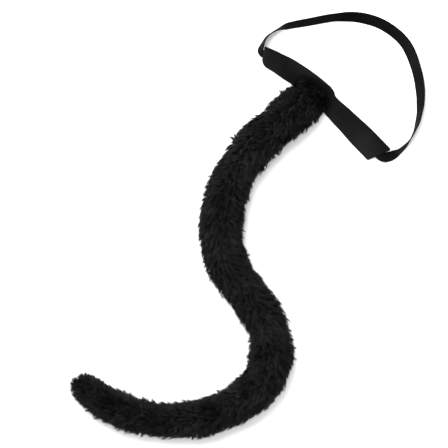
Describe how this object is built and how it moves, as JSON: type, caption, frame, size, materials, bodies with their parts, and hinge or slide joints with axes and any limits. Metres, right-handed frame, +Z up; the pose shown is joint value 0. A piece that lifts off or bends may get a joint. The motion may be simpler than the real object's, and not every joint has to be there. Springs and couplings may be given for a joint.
{
  "type": "costume animal tail",
  "caption": "Stuffed costume tail of deep fur, lying in an S curve, sewn by its root to a flat waistband that a narrow elastic strap closes into a waist loop.",
  "frame": {"origin": "middle of the underside, on the surface that the tail lies on", "axes": "+Z up from that surface; +Y from the tip of the tail towards the waist loop; +X to the right of it, seen from above"},
  "size_m": [0.389, 0.4698, 0.0418],
  "materials": {
    "fur": "deep matt black pile",
    "band_cloth": "smooth matt",
    "elastic": "fine ribbed weave"
  },
  "bodies": {
    "root": {"tail": "fur", "waistband": "band_cloth", "elastic_strap": "elastic"}
  },
  "joints": []
}
